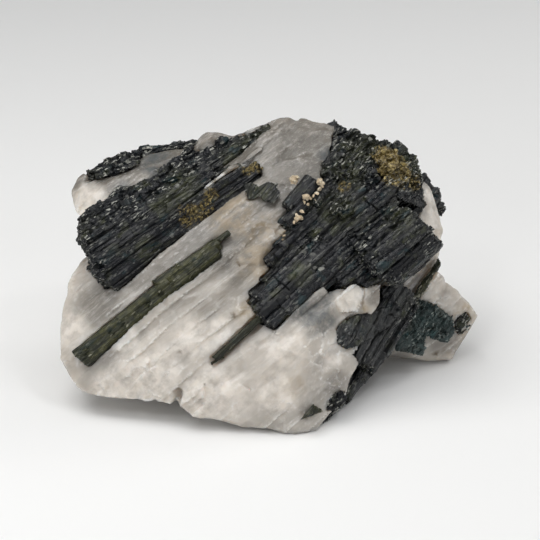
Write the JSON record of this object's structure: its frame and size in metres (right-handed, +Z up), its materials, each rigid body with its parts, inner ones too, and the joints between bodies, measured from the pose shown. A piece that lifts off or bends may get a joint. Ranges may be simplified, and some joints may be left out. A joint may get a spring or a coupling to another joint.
{
  "type": "tourmaline in matrix",
  "caption": "Broken lump of milky quartz with striated black, green and blue tourmaline crystals grown through it.",
  "frame": {"origin": "middle of the bounding box, level with the flat underside it rests on", "axes": "+X along the specimen's length, to the right in the picture; -Y towards the picture's view; +Z up"},
  "size_m": [0.1053, 0.0722, 0.0615],
  "materials": {
    "milky_quartz": "broken, glossy",
    "black_tourmaline": "striated, glossy",
    "green_tourmaline": "striated, glossy",
    "blue_tourmaline": "granular, glossy",
    "rusty_mica": "granular, satin",
    "feldspar": "satin"
  },
  "bodies": {
    "root": {"quartz_matrix": "milky_quartz", "right_tourmaline_bundle": "black_tourmaline", "left_tourmaline_bundle": "black_tourmaline", "left_top_tourmaline": "black_tourmaline", "lower_tourmaline_bundle": "black_tourmaline", "blue_tourmaline_mass": "blue_tourmaline", "long_green_crystal": "green_tourmaline", "short_green_crystal": "green_tourmaline", "small_black_crystal": "black_tourmaline", "dark_chip": "black_tourmaline", "lower_edge_tourmaline": "black_tourmaline", "foot_tourmaline_stub": "black_tourmaline", "edge_green_crystal": "green_tourmaline", "back_right_tourmaline": "black_tourmaline", "rusty_mica_cluster": "rusty_mica", "back_tourmaline_bundle": "black_tourmaline", "olive_wedge_crystal": "green_tourmaline", "feldspar_grain_1": "feldspar", "feldspar_grain_2": "feldspar", "feldspar_grain_3": "feldspar", "feldspar_grain_4": "feldspar"}
  },
  "joints": []
}
